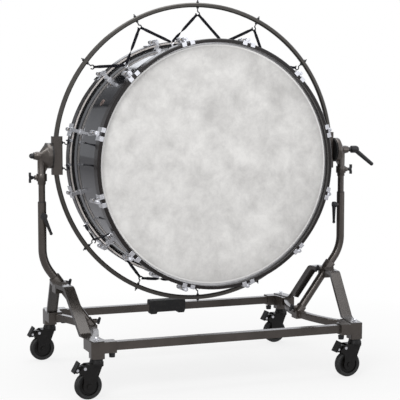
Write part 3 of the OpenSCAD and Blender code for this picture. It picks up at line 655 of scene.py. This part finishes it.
def band_leg(band, thread, start_eye, end_eye, half_twists):
    """One elastic band from eye to eye, with a sewn loop at each end."""
    aim = (end_eye[0] - start_eye[0]).normalized()
    start, start_side = wire_contact(start_eye, aim)
    end, end_side = wire_contact(end_eye, -aim)
    aim = (end - start).normalized()
    start_side = (start_side - aim * start_side.dot(aim)).normalized()
    end_side = (end_side - aim * end_side.dot(aim)).normalized()
    if start_side.dot(end_side) < 0:
        end_side = -end_side
    turn = math.atan2(aim.dot(start_side.cross(end_side)), start_side.dot(end_side))
    turn += math.pi * half_twists
    end_loop(band, start, aim, start_side, start_eye[3])
    end_loop(band, end, -aim, end_side, end_eye[3])
    first, last = start + aim * LOOP_REACH, end - aim * LOOP_REACH
    span = (last - first).length
    flap = min(FLAP, 0.3 * span)
    path, sides, widths, thicks = [], [], [], []
    for i in range(BAND_STEPS + 1):
        s = i / BAND_STEPS
        eased_turn = eased((s - TWIST_FROM) / (TWIST_TO - TWIST_FROM))
        path.append(first.lerp(last, s))
        sides.append(Matrix.Rotation(turn * eased_turn, 3, aim) @ start_side)
        from_end = min(s, 1 - s) * span
        doubled = max(0.0, min(1.0, (flap - from_end) / FLAP_EDGE + 0.5))
        grip = max(0.0, 1 - from_end / NARROW_RUN)
        stretch = STRETCH_NARROWING * (1 - abs(2 * s - 1))
        widths.append(BAND_WIDTH * (1 - LOOP_NARROWING * grip - stretch))
        thicks.append(BAND_THICK * (1 + doubled))
    band.strip(path, sides, widths, thicks)
    stitch_rows(thread, first, aim, start_side, aim.cross(start_side))
    last_side = sides[-1]
    stitch_rows(thread, last, -aim, last_side, aim.cross(last_side))


def hang_bands():
    """All the bands. The left one at the top hook is hung with a half twist."""
    band, thread = Builder(), Builder()
    for side in (-1, 1):
        for hook, anchor, twist in ANCHOR_BANDS:
            if side < 0 and hook == 0:
                twist = 1
            band_leg(band, thread, ring_hook(side * hook), shell_anchor(side * anchor), twist)
        for end in (-1, 1):
            band_leg(band, thread, ring_hook(side * LOW_HOOK), hoop_clip(side * LOW_CLIP, end), 1)
        for up, angle in BLOCK_BANDS:
            band_leg(band, thread, block_hook(side, up), hoop_clip(side * angle, 1), 0)
    band.build("elastic_bands", "elastic", "drum_in_ring", "elastic_band", ("suspension_straps",))
    thread.build("band_stitches", "thread", "drum_in_ring", "elastic_band")


# ---------- foot rest ----------

LOBE_DEPTH = 8 * MM
LOBE_START = 4 * MM
LOBE_WIDTH = 30 * MM
LOBE_LEAD, LOBE_SLOPE = 3 * MM, 5 * MM
RIB_COUNT, RIB_STEPS = 7, 8
RIB_MARGIN = 1 * MM
RIB_HEIGHT = 0.9 * MM
SLEEVE_BEND = 7 * MM
SLEEVE_END = 3 * MM
# Places of the sleeve's sections, in mm from each end: close together where its shape changes
STATIONS = (0, 0.4, 1.2, 2.5, 4, 6, 8, 10, 14, 20, 26, 29, 31, 33, 36, 42, 50, 60)


def foot_rest_section(low, high, drop, inset):
    """Closed outline across the rail: ribbed top, round corners, underside lowered by drop."""
    half, mid = (high.y - low.y) / 2 - inset, (low.y + high.y) / 2
    top, bottom, bend = high.z - inset, low.z + LOBE_DEPTH - drop + inset, SLEEVE_BEND
    outline = []
    bends = (
        (half - bend, bottom + bend, -90), (half - bend, top - bend, 0),
        (bend - half, top - bend, 90), (bend - half, bottom + bend, 180),
    )
    for number, (across, height, start) in enumerate(bends):
        for i in range(7):
            turn = math.radians(start + 15 * i)
            outline.append((mid + across + bend * math.cos(turn), height + bend * math.sin(turn)))
        if number == 1:
            flat, steps = half - bend - RIB_MARGIN, RIB_COUNT * RIB_STEPS
            for i in range(steps + 1):
                groove = max(0.0, math.cos(2 * math.pi * i / RIB_STEPS)) if 0 < i < steps else 0.0
                across = flat - 2 * flat * i / steps
                outline.append((mid + across, top - RIB_HEIGHT * groove))
    return outline


def make_foot_rest():
    """Rubber sleeve on the rear rail, ribbed on top, with a clamp lobe under each end."""
    low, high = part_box("foot_rest")
    half_run = (high.x - low.x) / 2
    places = [low.x + s * MM for s in STATIONS] + [high.x - s * MM for s in reversed(STATIONS)]
    points, faces, count = [], [], 0
    for x in places:
        from_end = half_run - abs(x - (low.x + high.x) / 2)
        rise = eased((from_end - LOBE_START + LOBE_LEAD) / LOBE_SLOPE)
        fall = eased((LOBE_START + LOBE_WIDTH - from_end) / LOBE_SLOPE)
        short_of_flat = max(0.0, 1 - from_end / SLEEVE_END)
        inset = SLEEVE_END * (1 - math.sqrt(max(0.0, 1 - short_of_flat ** 2)))
        outline = foot_rest_section(low, high, LOBE_DEPTH * rise * fall, inset)
        count = len(outline)
        points += [(x, y, z) for y, z in outline]
    for i in range(len(places) - 1):
        for j in range(count):
            a, b = i * count + j, i * count + (j + 1) % count
            faces.append((a, b, b + count, a + count))
    faces.append(tuple(range(count))[::-1])
    faces.append(tuple(range((len(places) - 1) * count, len(places) * count)))
    mesh = bpy.data.meshes.new("foot_rest_cover")
    mesh.from_pydata(points, [], faces)
    add_piece(mesh.name, mesh, "grip", 40, "foot_rest_sleeve", ("foot_rest",))


# ---------- stage ----------

# In metres: the floor's side, and the distances between which it blends from pale into white
FLOOR_SIZE = 60
FLOOR_PALE_TO, FLOOR_WHITE_FROM = 0.7, 1.9
FLOOR_BLEND_NEAR = 0.80
# Gloss sees the floor dimmer with distance behind the drum: (near, far, level near, level far)
FLOOR_MIRRORED = (1.5, 8.0, 0.42, 0.22)


def make_floor():
    """Pale floor that keeps a faint shadow near the wheels and runs into the backdrop's white."""
    bpy.ops.mesh.primitive_plane_add(size=FLOOR_SIZE)
    floor = bpy.context.object
    floor.name = "floor"
    f = Finish("pale_floor", (0.9, 0.9, 0.9), 0.9, specular_ior_level=0.0)
    output = f.tree.nodes["Material Output"]
    length = f.add("ShaderNodeVectorMath", operation="LENGTH")
    f.feed(length, 0, f.place)
    far = f.span(
        length.outputs["Value"], FLOOR_PALE_TO, FLOOR_WHITE_FROM, FLOOR_BLEND_NEAR, 1.0)
    seen = f.blend(far, f.shader.outputs[0], f.glow(WHITE))
    parts = f.add("ShaderNodeSeparateXYZ")
    f.feed(parts, 0, f.place)
    mirrored = f.glow((0.95, 0.95, 1.0, 1), f.span(parts.outputs[1], *FLOOR_MIRRORED))
    f.feed(output, 0, f.blend(f.ray("Glossy"), seen, mirrored))
    floor.data.materials.append(f.material)


# What gloss sees behind the drum, from left (-0.5) to right (0.5): dim flags, gaps and a lit panel
PANELS = (
    (-0.5, 0.15), (-0.24, 0.13), (-0.178, 0.10), (-0.174, 0.0), (-0.158, 0.0), (-0.154, 0.03),
    (-0.05, 0.075), (-0.035, 0.08), (-0.03, 0.002), (0.095, 0.002), (0.11, 0.55), (0.22, 0.5),
    (0.26, 0.35), (0.5, 0.35),
)
PANEL_LEVEL = 3.0
OPEN_LEVEL = 1.05
AMBIENT_LEVEL = 0.37


def make_world():
    """White for the camera. Gloss sees flags and a panel behind, and light in front and above."""
    world = bpy.data.worlds.new("studio")
    bpy.context.scene.world = world
    g = Graph(world, "Generated")
    output = g.tree.nodes["World Output"]
    parts = g.add("ShaderNodeSeparateXYZ")
    g.feed(parts, 0, g.place)
    behind = g.add("ShaderNodeValToRGB")
    g.feed(behind, 0, g.span(parts.outputs[0], -0.5, 0.5, 0.0, 1.0))
    stops = behind.color_ramp.elements
    while len(stops) < len(PANELS):
        stops.new(0.5)
    for stop, (across, share) in zip(stops, PANELS):
        stop.position = across + 0.5
        stop.color = (share, share, share, 1)
    front = g.span(parts.outputs[1], -0.05, -0.4, 0.0, OPEN_LEVEL)
    above = g.span(parts.outputs[2], 0.5, 0.85, 0.0, OPEN_LEVEL)
    panels = g.math("MULTIPLY", behind.outputs["Color"], PANEL_LEVEL)
    level = g.math("MAXIMUM", g.math("MAXIMUM", panels, front), above)
    lit = g.blend(g.ray("Glossy"), g.glow(WHITE, AMBIENT_LEVEL), g.glow(COOL_WHITE, level))
    g.feed(output, 0, g.blend(g.ray("Camera"), lit, g.glow(WHITE)))


def area_light(name, place, target, size, power):
    """A soft box at a place, turned to face a target."""
    data = bpy.data.lights.new(name, "AREA")
    data.shape = "RECTANGLE"
    data.size, data.size_y = size
    data.energy = power
    lamp = bpy.data.objects.new(name, data)
    lamp.location = place
    lamp.rotation_euler = (Vector(target) - Vector(place)).to_track_quat("-Z", "Y").to_euler()
    bpy.context.scene.collection.objects.link(lamp)


def light_stage():
    """A large key from the front left, a weak fill, a broad top light and a strip behind."""
    aim = (0, 0, 0.75)
    area_light("key", (-3.2, -4.2, 3.4), aim, (2.4, 2.4), 120)
    area_light("fill", (4.4, -3.4, 1.6), aim, (2.0, 3.0), 22)
    area_light("top", (0, 0.4, 4.6), aim, (3.6, 3.6), 90)
    area_light("rim", (-4.4, 1.6, 2.2), aim, (0.8, 3.0), 35)


def make_camera():
    """Low three-quarter view from the front left, with the drum's axis turned 20.5 degrees away."""
    data = bpy.data.cameras.new("camera")
    data.sensor_width = 36
    data.lens = 116.4
    data.shift_x = -0.0025
    camera = bpy.data.objects.new("camera", data)
    place, target = Vector((-1.781, -4.801, 1.1545)), Vector((0.0141, 0, 0.6745))
    camera.location = place
    camera.rotation_euler = (target - place).to_track_quat("-Z", "Y").to_euler()
    bpy.context.scene.collection.objects.link(camera)
    bpy.context.scene.camera = camera


paint_nodes()
paint_tyres()
paint_hoop_edges()
paint_rivets()
soften(CAST_PIECES, CAST_EDGE)
soften(FORMED_PIECES, FORMED_EDGE)
hang_bands()
make_foot_rest()
make_floor()
make_world()
light_stage()
make_camera()
bpy.context.scene.view_settings.view_transform = "Standard"
